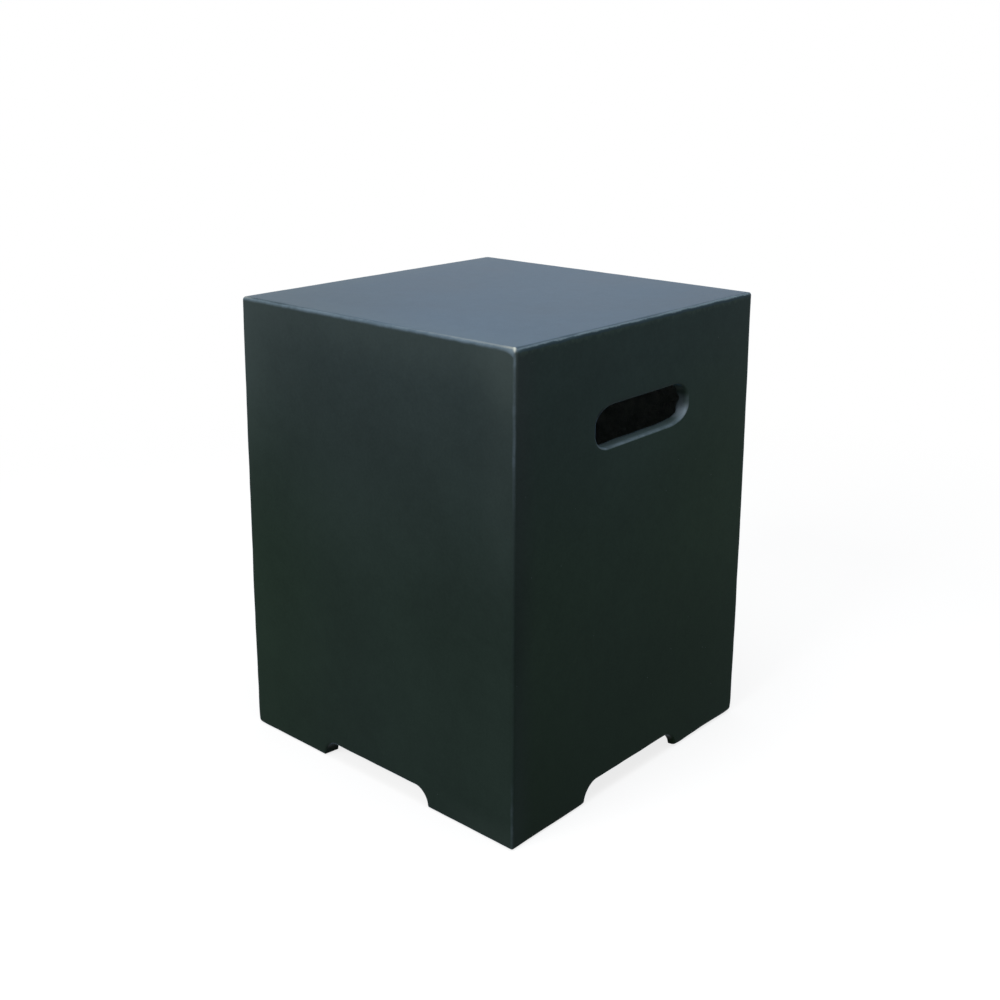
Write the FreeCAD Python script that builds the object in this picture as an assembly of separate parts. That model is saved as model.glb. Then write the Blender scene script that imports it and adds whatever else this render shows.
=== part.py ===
import FreeCAD, Part
import os

# Square concrete cover table that is lifted over a propane cylinder.
# Millimetres. The origin is at the centre of the base on the floor, +Z is up,
# the handle slots are in the right (+X) and left (-X) walls and -Y is the front.

# The casting: draft is how far each outer face leans in from the feet to the top
base_width = 410.0
casting_height = 517.0
draft = 6.0
wall_at_base = 19.0
top_thickness = 15.0
inner_corner_radius = 12.0
outer_edge_radius = 3.5
face_coat_thickness = 3.0
least_backing_edge_radius = 0.5

# The handle slots, centred on their walls
slot_width = 160.0
slot_height = 44.0
slot_corner_radius = 19.0
slot_centre_below_top = 100.0
slot_rim_radius = 2.0

# The notches between the feet, one in each wall
notch_width = 170.0
notch_height = 20.0
notch_corner_radius = 18.0
foot_edge_radius = 1.5

# The glass-fibre mesh between coat and backing: cover is how far it stays from any edge
mesh_thickness = 0.8
mesh_cover = 12.0
strip_leg = 50.0
strip_end_gap = 2.0

# The rubber pads under the feet
pad_diameter = 16.0
pad_thickness = 2.0
pad_inset = 14.0

# Play for finding edges, and the least flat left between two rounded corners
touch = 0.01
least_flat = 0.2

# Worked out from the sizes above
foot_level = pad_thickness
table_level = foot_level + casting_height
base_half = base_width / 2
top_half = base_half - draft
cavity_half = base_half - wall_at_base
cavity_height = casting_height - top_thickness
coat_level = table_level - face_coat_thickness
slot_level = table_level - slot_centre_below_top
beyond = base_width

SIDES = {"right": 0, "back": 90, "left": 180, "front": 270}
SLOTTED_SIDES = ("right", "left")
CORNERS = {"front_right": 270, "back_right": 0, "back_left": 90, "front_left": 180}


def outer_half(level):
    """Half the outer width of the casting at a level above the floor."""
    return base_half - draft * (level - foot_level) / casting_height


def tapered_block(inset, bottom, top):
    """Block whose sides lie a set distance inside the sloping outer faces."""
    low = outer_half(bottom) - inset
    high = outer_half(top) - inset
    wedge = Part.makeWedge(-low, bottom, -low, -high, -high, low, top, low, high, high)
    wedge.rotate(FreeCAD.Vector(0, 0, 0), FreeCAD.Vector(1, 0, 0), 90)
    return wedge


def centred_box(half_x, half_y, bottom, top):
    """Box centred on the upright axis between two levels."""
    corner = FreeCAD.Vector(-half_x, -half_y, bottom)
    return Part.makeBox(2 * half_x, 2 * half_y, top - bottom, corner)


def turned(shape, angle):
    """A copy of the shape turned about the upright axis."""
    copy = shape.copy()
    copy.rotate(FreeCAD.Vector(0, 0, 0), FreeCAD.Vector(0, 0, 1), angle)
    return copy


def is_upright(edge):
    """True for an edge that rises more than it runs sideways."""
    return edge.BoundBox.ZLength > touch + edge.BoundBox.XLength + edge.BoundBox.YLength


def lies_at(edge, level):
    """True for an edge that lies flat at one level."""
    return edge.BoundBox.ZLength < touch and abs(edge.BoundBox.ZMin - level) < touch


def rounded_block(inset, radius, top):
    """Tapered block with its upright and top edges rounded."""
    block = tapered_block(inset, foot_level, top)
    edges = [edge for edge in block.Edges if is_upright(edge) or lies_at(edge, top)]
    return block.makeFillet(radius, edges)


def slot_plug(growth):
    """Rounded bar along X that fills both handle slots, grown on all sides."""
    rise = slot_height / 2 + growth
    bar = centred_box(beyond, slot_width / 2 + growth, slot_level - rise, slot_level + rise)
    edges = [edge for edge in bar.Edges if edge.BoundBox.XLength > beyond]
    return bar.makeFillet(min(slot_corner_radius + growth, rise - least_flat / 2), edges)


def notch_bar(growth):
    """Bar along X with rounded top edges that fills two facing notches."""
    top = foot_level + notch_height + growth
    bar = centred_box(beyond, notch_width / 2 + growth, foot_level - notch_height, top)
    edges = [edge for edge in bar.Edges if edge.BoundBox.XLength > beyond and lies_at(edge, top)]
    return bar.makeFillet(notch_corner_radius + growth, edges)


def notch_plug(growth):
    """Crossed bars that fill all four notches."""
    bar = notch_bar(growth)
    return bar.fuse(turned(bar, 90))


def cavity():
    """The straight-sided space for the cylinder, open at the floor."""
    ceiling = foot_level + cavity_height
    block = centred_box(cavity_half, cavity_half, foot_level, ceiling)
    edges = [edge for edge in block.Edges if is_upright(edge) or lies_at(edge, ceiling)]
    return block.makeFillet(inner_corner_radius, edges)


def backing_envelope():
    """Everything behind the face coat, with room for its lining of slots and notches."""
    radius = max(outer_edge_radius - face_coat_thickness, least_backing_edge_radius)
    block = rounded_block(face_coat_thickness, radius, coat_level)
    return block.cut([cavity(), slot_plug(face_coat_thickness), notch_plug(face_coat_thickness)])


def on_outer_face(point):
    """True for a point on one of the four outer faces."""
    distance = max(abs(point.x), abs(point.y))
    return abs(distance - outer_half(point.z)) < touch


def rim_edges(shape, lowest, highest):
    """Edges that lie on the outer faces between two levels."""
    found = []
    for edge in shape.Edges:
        ends = edge.valueAt(edge.FirstParameter), edge.valueAt(edge.LastParameter)
        in_band = lowest < edge.BoundBox.ZMin and edge.BoundBox.ZMax < highest
        if in_band and all(on_outer_face(point) for point in ends):
            found.append(edge)
    return found


def make_face_coat():
    """Smooth coloured skin on the outside, in the slots and in the notches."""
    outside = rounded_block(0, outer_edge_radius, table_level)
    coat = outside.cut([cavity(), slot_plug(0), notch_plug(0)])
    slot_rims = rim_edges(coat, slot_level - slot_height, slot_level + slot_height)
    coat = coat.makeFillet(slot_rim_radius, slot_rims)
    foot_rims = rim_edges(coat, foot_level - touch, foot_level + notch_height + touch)
    coat = coat.makeFillet(foot_edge_radius, foot_rims)
    return coat.cut(backing_envelope())


def make_backing_shell(embedded):
    """Thick fibre-filled layer with pockets for the mesh that lies in it."""
    return backing_envelope().cut(embedded)


def mesh_layer(inset):
    """Thin five-sided layer of one mesh thickness behind the coat."""
    top = table_level - inset
    outside = tapered_block(inset, foot_level, top)
    inside = tapered_block(inset + mesh_thickness, foot_level, top - mesh_thickness)
    return outside.cut(inside)


def make_mesh_top():
    """Flat mesh sheet under the coat of the tabletop."""
    half = top_half - mesh_cover
    return centred_box(half, half, coat_level - mesh_thickness, coat_level)


def make_mesh_wall(cutters):
    """Mesh sheet behind the coat of the right wall, less what is cut out of it."""
    half = top_half - mesh_cover
    bottom = foot_level + mesh_cover
    corner = FreeCAD.Vector(cavity_half, -half, bottom)
    window = Part.makeBox(beyond, 2 * half, coat_level - mesh_cover - bottom, corner)
    return mesh_layer(face_coat_thickness).common(window).cut(cutters)


def make_corner_strip():
    """Folded strip that laps two wall sheets at the back right corner."""
    start = top_half - strip_leg
    bottom = foot_level + mesh_cover
    top = table_level - strip_leg - strip_end_gap
    window = Part.makeBox(beyond, beyond, top - bottom, FreeCAD.Vector(start, start, bottom))
    return mesh_layer(face_coat_thickness + mesh_thickness).common(window)


def make_top_strip():
    """Folded strip that laps the top sheet and the right wall sheet."""
    half = top_half - strip_leg - strip_end_gap
    corner = FreeCAD.Vector(top_half - strip_leg, -half, table_level - strip_leg)
    window = Part.makeBox(beyond, 2 * half, beyond, corner)
    return mesh_layer(face_coat_thickness + mesh_thickness).common(window)


def make_foot_pad():
    """Round rubber pad under the back right foot."""
    centre = base_half - pad_inset
    return Part.makeCylinder(pad_diameter / 2, pad_thickness, FreeCAD.Vector(centre, centre, 0))


def make_pieces():
    """All pieces by name."""
    mesh = {"mesh_top": make_mesh_top()}
    plain_sheet = make_mesh_wall([notch_bar(mesh_cover)])
    slotted_sheet = make_mesh_wall([notch_bar(mesh_cover), slot_plug(mesh_cover)])
    for side, angle in SIDES.items():
        sheet = slotted_sheet if side in SLOTTED_SIDES else plain_sheet
        mesh["mesh_" + side] = turned(sheet, angle)
    top_strip = make_top_strip()
    for side, angle in SIDES.items():
        mesh["top_strip_" + side] = turned(top_strip, angle)
    corner_strip = make_corner_strip()
    for corner, angle in CORNERS.items():
        mesh["corner_strip_" + corner] = turned(corner_strip, angle)
    pieces = {"face_coat": make_face_coat(), "backing_shell": make_backing_shell(list(mesh.values()))}
    pieces.update(mesh)
    pad = make_foot_pad()
    for corner, angle in CORNERS.items():
        pieces["foot_pad_" + corner] = turned(pad, angle)
    return pieces


os.makedirs("parts", exist_ok=True)
for name, shape in make_pieces().items():
    print(name, "solids", len(shape.Solids), "valid", shape.isValid(), "volume", round(shape.Volume))
    shape.exportStep("parts/" + name + ".step")
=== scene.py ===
import math

import bpy
import numpy as np
from mathutils import Matrix, Vector


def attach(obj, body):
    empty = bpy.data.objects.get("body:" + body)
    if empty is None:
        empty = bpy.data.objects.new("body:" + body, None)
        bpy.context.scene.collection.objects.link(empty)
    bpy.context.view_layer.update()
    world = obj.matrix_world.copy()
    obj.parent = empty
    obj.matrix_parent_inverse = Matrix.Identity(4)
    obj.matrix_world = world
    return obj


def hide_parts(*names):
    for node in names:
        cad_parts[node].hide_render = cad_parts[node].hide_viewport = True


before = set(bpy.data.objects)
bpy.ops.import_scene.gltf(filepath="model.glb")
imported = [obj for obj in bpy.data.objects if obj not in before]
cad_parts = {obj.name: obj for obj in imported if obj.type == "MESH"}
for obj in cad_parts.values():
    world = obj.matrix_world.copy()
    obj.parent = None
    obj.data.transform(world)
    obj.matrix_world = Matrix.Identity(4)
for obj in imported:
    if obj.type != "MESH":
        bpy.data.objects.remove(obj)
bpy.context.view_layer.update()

# Lengths are in millimetres, and this turns them into metres
MM = 0.001

# The casting, with the same values as in the part's source
BASE_HALF = 205.0
DRAFT = 6.0
CASTING_HEIGHT = 517.0
FOOT_LEVEL = 2.0
TABLE_LEVEL = FOOT_LEVEL + CASTING_HEIGHT
CAVITY_HALF = 186.0
CAVITY_TOP = 504.0
CAVITY_CORNER = 12.0
COAT = 3.0
PAD_CENTRE = 191.0

# The handle slots as they were cast: tilted, narrower at the back, and with stretched round ends
SLOT_LEVEL = 418.05
SLOT_TILT = 0.00875
SLOT_MIDDLE = -0.2
SLOT_HALF_WIDTH = 78.6
SLOT_HALF_HEIGHT = 21.8
SLOT_TAPER = 0.00475
SLOT_CORNER = 18.0
SLOT_STRETCH = 1.45
SLOT_SKEW = 0.2
SLOT_SKEW_ALONG = 60.0
SLOT_SKEW_UP = 10.0
SLOT_DRAFT = 0.06

# The notches as they were cast: in the plain walls, then in the slotted walls
NOTCH_MIDDLE = 0.5
NOTCH_HALF_WIDTH = 83.1
NOTCH_TOP = 22.0
NOTCH_CORNER = 19.5
NOTCH_DRAFT = 0.13
SLOTTED_NOTCH_MIDDLE = -2.2
SLOTTED_NOTCH_HALF_WIDTH = 83.2
SLOTTED_NOTCH_TOP = 23.2
SLOTTED_NOTCH_CORNER = 20.5

# How far the walls bulge at mid height
BOW = 0.5

# How round the edges are, and between which limits they vary
EDGE_RADIUS = 3.3
EDGE_RADIUS_LIMITS = (1.6, 6.5)
RIM_RADIUS = 0.95
RIM_RADIUS_LIMITS = (0.35, 2.4)
RIM_LOWER = 0.65
RIM_FAR = 0.6
FOOT_RADIUS = 2.0
FOOT_RADIUS_LIMITS = (0.6, 9.0)
INNER_RIM_RADIUS = 0.6
INNER_FOOT_RADIUS = 1.6
INNER_FOOT_HEIGHT = 14.0
INNER_RADIUS_LIMITS = (0.6, 8.0)

# Uneven edges and insides, as layers of noise: each a wavelength, a height and a seed
EDGE_WANDER = ((60.0, 1.1, 11), (16.0, 0.55, 12))
FOOT_WANDER = ((14.0, 0.7, 13),)
RIM_WANDER = ((18.0, 0.35, 14),)
INNER_ROUGHNESS = ((34.0, 0.8, 21), (9.0, 0.45, 22))
BROKEN_GRAIN = ((5.0, 1.0, 23),)
ALL_LAYERS = EDGE_WANDER + FOOT_WANDER + RIM_WANDER + INNER_ROUGHNESS + BROKEN_GRAIN

# The broken inner ends of the slots: depth, reach, and where along the slot they begin
BROKEN_DEPTH = 3.2
BROKEN_REACH = 4.5
BROKEN_START = 48.0
BROKEN_FADE = 22.0
BROKEN_LEAST = 0.12

# How far each corner of the casting is off square: x, y and z signs, then the shift
CORNER_SHIFTS = (
    ((-1, 1, 1), (0.1, 0.1, -0.65)),
    ((-1, -1, 1), (1.15, 1.0, -1.2)),
    ((1, 1, 1), (0.35, 0.3, 0.0)),
    ((1, -1, 1), (-0.2, -0.15, -0.55)),
    ((-1, -1, -1), (0.0, 0.05, -0.9)),
    ((1, -1, -1), (-0.15, 0.05, -0.65)),
    ((1, 1, -1), (-0.4, 0.0, -0.05)),
)

# Places where an edge is rounder, or sharper if negative: centre, reach and change of radius
WORN_SPOTS = (
    ((205.0, -85.0, 2.0), 9.0, 1.2),
    ((205.0, 81.0, 2.0), 8.0, 3.2),
    ((205.0, 205.0, 2.0), 9.0, 2.2),
    ((205.0, 150.0, 2.0), 45.0, 2.6),
    ((205.0, -205.0, 2.0), 20.0, -1.4),
    ((203.0, -203.0, 40.0), 50.0, -0.9),
    ((-85.0, -205.0, 2.0), 9.0, -1.4),
    ((-85.0, -186.0, 2.0), 9.0, -1.4),
    ((-205.0, -205.0, 2.0), 9.0, 2.2),
    ((-205.0, 205.0, 2.0), 9.0, 2.0),
    ((199.0, -199.0, 519.0), 11.0, 2.8),
    ((-199.0, -199.0, 519.0), 30.0, 1.0),
    ((100.0, 199.0, 519.0), 70.0, -1.2),
    ((-136.0, -199.0, 519.0), 14.0, 1.8),
    ((199.0, -118.0, 519.0), 12.0, 1.5),
    ((200.5, -200.5, 250.0), 7.0, 1.4),
)

# Places where the wall is thinner inside: centre, reach and lost thickness
THIN_SPOTS = (
    ((186.0, 72.0, 403.0), 11.0, 2.0),
    ((186.0, 76.0, 417.0), 17.0, 1.6),
    ((186.0, 88.0, 4.0), 24.0, 11.5),
)

# The grid that the casting is meshed on: its reach, its spacing and where it is fine
GRID_SIDE = 206.2
GRID_BOTTOM = 0.8
GRID_TOP = 520.2
COARSE = 5.0
FINE = 1.2
FINE_ACROSS = ((58.0, 88.0), (183.0, GRID_SIDE))
FINE_UP = ((GRID_BOTTOM, 26.0), (394.0, 444.0), (500.0, GRID_TOP))

# How far from the surface the uneven detail is worked out
BAND = 9.5

# Passes over the grid that fill pinched places, and how deep a filled point then lies
SADDLE_PASSES = 6
SADDLE_FILL = -0.02

MOST_TRIANGLES = 180000

# Half the outline of a rubber pad, as radius and height from its sole to its top
PAD_PROFILE = (
    (0.0, 0.35),
    (4.6, 0.3),
    (5.4, 0.12),
    (6.2, 0.0),
    (7.2, 0.02),
    (7.75, 0.25),
    (7.98, 0.7),
    (7.98, 1.5),
    (7.8, 1.85),
    (7.4, 2.0),
    (4.0, 2.0),
    (0.0, 2.0),
)
PAD_STEPS = 72

# Starts of the names of the pieces that the casting hides
HIDDEN_PIECES = ("mesh_", "top_strip_", "corner_strip_")

# The camera: place and clipping in metres, angles in degrees, lens and sensor in millimetres
CAMERA_PLACE = (0.9637, -1.0716, 0.7717)
CAMERA_AZIMUTH = 41.868
CAMERA_DIP = 18.855
CAMERA_ROLL = 0.208
CAMERA_LENS = 47.4
CAMERA_SENSOR = 36.0
CAMERA_CLIP = (0.05, 60.0)

# Lamps: name, place, target and size in metres, power in watts, colour
LAMPS = (
    ("key", (-0.1, -2.9, 2.1), (0.0, 0.0, 0.3), 1.6, 60.0, (1.0, 1.0, 1.0)),
    ("top", (0.3, -0.2, 2.8), (0.0, 0.0, 0.4), 2.0, 44.0, (0.94, 0.97, 1.0)),
)

# Strength of the world where it lights, and the floor: half its side and its white reach in metres
WORLD_LIGHT = 0.28
FLOOR_HALF = 12.0
FLOOR_GLOW = 0.8
FLOOR_TONE = 0.26
FLOOR_WHITENS = (0.72, 1.6)

# Colours, linear
# Wall colours by side and height hold painted light: lower down they are darker as painted shade and greener
# as a painted green reflection
FRONT_HIGH = (0.0285, 0.041, 0.0425)
FRONT_LOW = (0.0166, 0.0286, 0.0232)
BACK_HIGH = (0.0300, 0.0492, 0.0465)
BACK_MIDDLE = (0.0232, 0.0430, 0.0300)
# Painted green reflection at the far right of the slotted walls
BACK_FAR = (0.0245, 0.0485, 0.0255)
BACK_LOW = (0.0128, 0.0262, 0.0150)
# Painted green reflection low on the far sides
GREEN_REFLECTION = (0.0107, 0.0276, 0.0095)
# Tabletop colour with a painted bluish sky reflection in it
TOP_WITH_PAINTED_SKY = (0.053, 0.083, 0.118)
TOP_LEFT_WITH_PAINTED_SKY = (0.050, 0.077, 0.096)
# Painted light: lighter haze high on the walls
PAINTED_LIGHT_HAZE = (0.13, 0.168, 0.158)
# Rubbed edges, lighter also as a painted highlight
WORN_EDGE_AND_HIGHLIGHT = (0.12, 0.165, 0.205)
COAT_CHALKY = (0.36, 0.38, 0.36)
COAT_BARE = (0.62, 0.65, 0.59)
COAT_SPECK = (0.12, 0.15, 0.16)
# Painted shade inside the pinholes
PINHOLE_PAINTED_SHADE = (0.006, 0.008, 0.008)
# Painted light on the lower part of the slots' back ends
SLOT_END_PAINTED_LIGHT = (0.27, 0.34, 0.40)
# Painted highlight lines along rounded top edges and the slots' lower rims
PAINTED_HIGHLIGHT_LINE = (0.16, 0.22, 0.265)
# Painted dark line, bluish band and lighter band along the top edges above the slots, round their highlight
PAINTED_DARK_LINE = (0.030, 0.048, 0.058)
PAINTED_BLUISH_BAND = (0.033, 0.058, 0.075)
PAINTED_UNDER_EDGE_LIGHT = (0.060, 0.095, 0.080)
# Painted light on the slots' floors
SLOT_FLOOR_PAINTED_LIGHT = (0.088, 0.125, 0.130)
SLOT_END_SHADE = (0.006, 0.009, 0.009)
SHELL_BODY = (0.16, 0.19, 0.188)
SHELL_DUST = (0.285, 0.325, 0.315)
SHELL_STRAND = (0.42, 0.42, 0.40)
SHELL_SAND = (0.05, 0.052, 0.05)
RUBBER = (0.016, 0.016, 0.017)
RUBBER_DUST = (0.07, 0.068, 0.062)
GLASS_MESH = (0.62, 0.66, 0.63)

# The satin seal of the coat
SEAL_SPECULAR = 0.01
SHEEN_WEIGHT = 0.4
SHEEN_ROUGHNESS = 0.28
SHEEN_TINT = (0.32, 0.63, 1.0)

# The tabletop's tilt as its corners lie: rise per millimetre along x and y, and mean drop
TILT_X = 0.002
TILT_Y = 0.0018
TILT_DROP = 0.68


class Lattice:
    """Smooth repeatable noise between -1 and 1 on a lattice of seeded values."""

    def __init__(self, seed, size=32):
        self.size = size
        self.values = np.random.default_rng(seed).uniform(-1, 1, (size, size, size))

    def at(self, x, y, z, wavelength):
        """Noise at some points, with blobs of about a wavelength."""
        cells, parts = [], []
        for value in (x, y, z):
            scaled = value / wavelength + 0.5 * self.size
            low = np.floor(scaled)
            part = scaled - low
            cells.append(low.astype(int))
            parts.append(part * part * (3 - 2 * part))
        total = 0
        for step_x in (0, 1):
            for step_y in (0, 1):
                for step_z in (0, 1):
                    weight = 1.0
                    index = []
                    for cell, part, step in zip(cells, parts, (step_x, step_y, step_z)):
                        weight = weight * (part if step else 1 - part)
                        index.append((cell + step) % self.size)
                    total = total + weight * self.values[tuple(index)]
        return total


LATTICES = {seed: Lattice(seed) for wavelength, height, seed in ALL_LAYERS}


def noise(x, y, z, layers):
    """Sum of noise layers, each a wavelength, a height and a seed."""
    total = 0
    for wavelength, height, seed in layers:
        total = total + height * LATTICES[seed].at(x, y, z, wavelength)
    return total


def round_max(radius, *distances):
    """What several solids share, with the edges between them rounded."""
    squares = 0
    for distance in distances:
        squares = squares + np.maximum(distance + radius, 0) ** 2
    highest = distances[0]
    for distance in distances[1:]:
        highest = np.maximum(highest, distance)
    return np.minimum(-radius, highest) + np.sqrt(squares)


def bumps(x, y, z, spots):
    """Sum of soft round bumps, each a centre, a reach and a height."""
    total = 0
    for (spot_x, spot_y, spot_z), reach, height in spots:
        away = (x - spot_x) ** 2 + (y - spot_y) ** 2 + (z - spot_z) ** 2
        total = total + height * np.exp(-away / reach**2)
    return total


def side_gaps(x, y, z):
    """Signed distances to the sloping, slightly bulging outer faces."""
    share = (z - FOOT_LEVEL) / CASTING_HEIGHT
    half = BASE_HALF - DRAFT * share + 4 * BOW * share * (1 - share)
    return np.abs(x) - half, np.abs(y) - half


def slot_gap(x, y, z):
    """Signed distance to the handle slots, which narrow a little towards the inside."""
    level = SLOT_LEVEL + SLOT_TILT * y
    quarter = np.clip(y / SLOT_SKEW_ALONG, -1, 1) * np.clip((z - level) / SLOT_SKEW_UP, -1, 1)
    across = (np.abs(y - SLOT_MIDDLE) - SLOT_HALF_WIDTH) / (SLOT_STRETCH - SLOT_SKEW * quarter)
    depth = np.clip(BASE_HALF - DRAFT - np.abs(x), 0, COAT + BASE_HALF - CAVITY_HALF)
    up = np.abs(z - level) - SLOT_HALF_HEIGHT + SLOT_TAPER * y + SLOT_DRAFT * depth
    return round_max(SLOT_CORNER, across, up)


def notch_gap(x, y, z):
    """Signed distance to the notches between the feet; those in the plain walls narrow inwards."""
    beside = np.abs(y - SLOTTED_NOTCH_MIDDLE) - SLOTTED_NOTCH_HALF_WIDTH
    along_x = round_max(SLOTTED_NOTCH_CORNER, beside, z - SLOTTED_NOTCH_TOP)
    beside = np.abs(x - NOTCH_MIDDLE) - NOTCH_HALF_WIDTH
    beside = beside + NOTCH_DRAFT * np.clip(BASE_HALF - np.abs(y), 0, BASE_HALF - CAVITY_HALF)
    along_y = round_max(NOTCH_CORNER, beside, z - NOTCH_TOP)
    return np.minimum(along_x, along_y)


def cavity_gap(x, y, z):
    """Signed distance to the space for the cylinder."""
    beside_x = np.abs(x) - CAVITY_HALF
    beside_y = np.abs(y) - CAVITY_HALF
    return round_max(CAVITY_CORNER, beside_x, beside_y, z - CAVITY_TOP)


def casting(x, y, z, edge, foot, rim, inner, rough):
    """Signed distance to the whole casting; the radii and roughness may vary."""
    gap_x, gap_y = side_gaps(x, y, z)
    solid = round_max(edge, gap_x, gap_y, z - TABLE_LEVEL)
    solid = round_max(foot, solid, FOOT_LEVEL - z)
    solid = round_max(rim, solid, -slot_gap(x, y, z))
    solid = round_max(foot, solid, -notch_gap(x, y, z))
    return round_max(inner, solid, -cavity_gap(x, y, z) - rough)


def behind_coat(x, y, z):
    """Signed distance to everything that lies behind the coat."""
    gap_x, gap_y = side_gaps(x, y, z)
    inside = np.maximum(np.maximum(gap_x, gap_y), z - TABLE_LEVEL) + COAT
    openings = np.minimum(slot_gap(x, y, z), notch_gap(x, y, z))
    return np.maximum(inside, COAT - openings)


def broken_edge(x, y, z):
    """Extra roughness where the slots' ends break through to the inside, less the thin spots."""
    near_slot = np.exp(-(slot_gap(x, y, z) / BROKEN_REACH) ** 2)
    near_ends = np.clip((np.abs(y) - BROKEN_START) / BROKEN_FADE, BROKEN_LEAST, 1)
    lost = bumps(x, y, z, THIN_SPOTS)
    return BROKEN_DEPTH * near_slot * near_ends * noise(x, y, z, BROKEN_GRAIN) - lost


def detailed(x, y, z):
    """The casting with uneven edges and a rough inside."""
    spots = bumps(x, y, z, WORN_SPOTS)
    edge = np.clip(EDGE_RADIUS + noise(x, y, z, EDGE_WANDER) + spots, *EDGE_RADIUS_LIMITS)
    foot = np.clip(FOOT_RADIUS + noise(x, y, z, FOOT_WANDER) + spots, *FOOT_RADIUS_LIMITS)
    rim = RIM_RADIUS + RIM_LOWER * (SLOT_LEVEL - z) / SLOT_HALF_HEIGHT + RIM_FAR * y / SLOT_HALF_WIDTH
    rim = np.clip(rim + noise(x, y, z, RIM_WANDER), *RIM_RADIUS_LIMITS)
    near_foot = np.exp(-(((z - FOOT_LEVEL) / INNER_FOOT_HEIGHT) ** 2))
    inner = np.clip(INNER_RIM_RADIUS + (INNER_FOOT_RADIUS + spots) * near_foot, *INNER_RADIUS_LIMITS)
    rough = noise(x, y, z, INNER_ROUGHNESS) + broken_edge(x, y, z)
    return casting(x, y, z, edge, foot, rim, inner, rough)


def grid_lines(low, high, fine_spans):
    """Ascending coordinates, close together inside the fine spans."""
    starts = [span[0] for span in fine_spans]
    lines = [low]
    while lines[-1] < high:
        here = lines[-1]
        inside = any(start - FINE <= here < end for start, end in fine_spans)
        step = FINE if inside else COARSE
        for start in starts:
            if not inside and here < start <= here + step:
                step = max(start - here, FINE)
        lines.append(here + step)
    return np.array(lines)


def mirrored(spans):
    """Spans on both sides of zero."""
    return tuple((-high, -low) for low, high in spans) + tuple(spans)


def field_on_grid(axes):
    """Casting and behind-coat distances at all grid points, detailed near the surface."""
    x, y, z = np.meshgrid(*axes, indexing="ij", sparse=True)
    solid = casting(x, y, z, EDGE_RADIUS, FOOT_RADIUS, RIM_RADIUS, INNER_RIM_RADIUS, 0.0)
    near = np.nonzero(np.abs(solid) < BAND)
    points = [axis[index] for axis, index in zip(axes, near)]
    solid[near] = detailed(*points)
    return solid, behind_coat(x, y, z)


def shifted(array, axis, start):
    """The array less its first or last layer along an axis."""
    window = [slice(None)] * 3
    window[axis] = slice(1, None) if start else slice(None, -1)
    return array[tuple(window)]


def fill_saddles_across(field, axis):
    """Fills the saddles of the grid faces across one axis, in place, and counts them."""
    first, second = [i for i in range(3) if i != axis]
    low, high = shifted(field, first, False), shifted(field, first, True)
    corners = [shifted(low, second, False), shifted(high, second, False)]
    corners += [shifted(high, second, True), shifted(low, second, True)]
    inside = [corner < 0 for corner in corners]
    found = 0
    for start in (0, 1):
        after, opposite = (start + 1) % 4, (start + 2) % 4
        saddle = inside[start] & inside[opposite] & ~inside[after] & ~inside[start - 1]
        corners[after][saddle] = SADDLE_FILL
        found += np.count_nonzero(saddle)
    return found


def filled_saddles(field):
    """The field less its saddles: grid faces with just two opposite corners inside, which pinch it."""
    field = field.copy()
    for _pass in range(SADDLE_PASSES):
        if sum(fill_saddles_across(field, axis) for axis in range(3)) == 0:
            break
    return field


def crossings(field, axes, axis):
    """Grid edges along an axis that cross the surface, with where they do."""
    low, high = shifted(field, axis, False), shifted(field, axis, True)
    index = np.nonzero((low < 0) != (high < 0))
    share = low[index] / (low[index] - high[index])
    points = np.stack([axes[i][index[i]] for i in range(3)], axis=1)
    span = axes[axis][index[axis] + 1] - axes[axis][index[axis]]
    points[:, axis] += share * span
    return np.stack(index, axis=1), points, low[index] < 0


def surface(field, axes):
    """Closed mesh of the zero level: one point in each crossed cell, one quad per crossed edge."""
    shape = np.array(field.shape) - 1
    owners, places, edges = [], [], []
    for axis in range(3):
        index, points, starts_inside = crossings(field, axes, axis)
        others = [i for i in range(3) if i != axis]
        cells = []
        for step_a, step_b in ((1, 1), (0, 1), (0, 0), (1, 0)):
            cell = index.copy()
            cell[:, others[0]] -= step_a
            cell[:, others[1]] -= step_b
            flat = np.ravel_multi_index(tuple(cell.T), tuple(shape))
            owners.append(flat)
            places.append(points)
            cells.append(flat)
        quad = np.stack(cells, axis=1)
        flip = starts_inside if axis == 1 else ~starts_inside
        quad[flip] = quad[flip][:, ::-1]
        edges.append(quad)
    used, index = np.unique(np.concatenate(owners), return_inverse=True)
    places = np.concatenate(places)
    count = np.bincount(index, minlength=len(used))
    sums = [np.bincount(index, weights=places[:, i], minlength=len(used)) for i in range(3)]
    vertices = np.stack(sums, axis=1) / count[:, None]
    quads = np.searchsorted(used, np.concatenate(edges))
    return vertices, quads


def out_of_square(points):
    """The points after the corners of the casting have moved."""
    middle = np.array([0, 0, FOOT_LEVEL + CASTING_HEIGHT / 2])
    place = (points - middle) / np.array([BASE_HALF, BASE_HALF, CASTING_HEIGHT / 2])
    moved = points.copy()
    for signs, shift in CORNER_SHIFTS:
        shares = (1 + place * np.array(signs)) / 2
        moved += shares.prod(axis=1)[:, None] * np.array(shift)
    return moved


def new_mesh(name, vertices, faces):
    """Mesh object in metres from points in millimetres."""
    mesh = bpy.data.meshes.new(name)
    mesh.from_pydata((np.asarray(vertices) * MM).tolist(), [], [list(face) for face in faces])
    mesh.update()
    piece = bpy.data.objects.new(name, mesh)
    bpy.context.scene.collection.objects.link(piece)
    return piece


def apply_modifier(piece, modifier):
    """Bakes one modifier into the mesh."""
    bpy.context.view_layer.update()
    graph = bpy.context.evaluated_depsgraph_get()
    mesh = bpy.data.meshes.new_from_object(piece.evaluated_get(graph))
    piece.modifiers.remove(modifier)
    old = piece.data
    piece.data = mesh
    bpy.data.meshes.remove(old)


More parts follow.
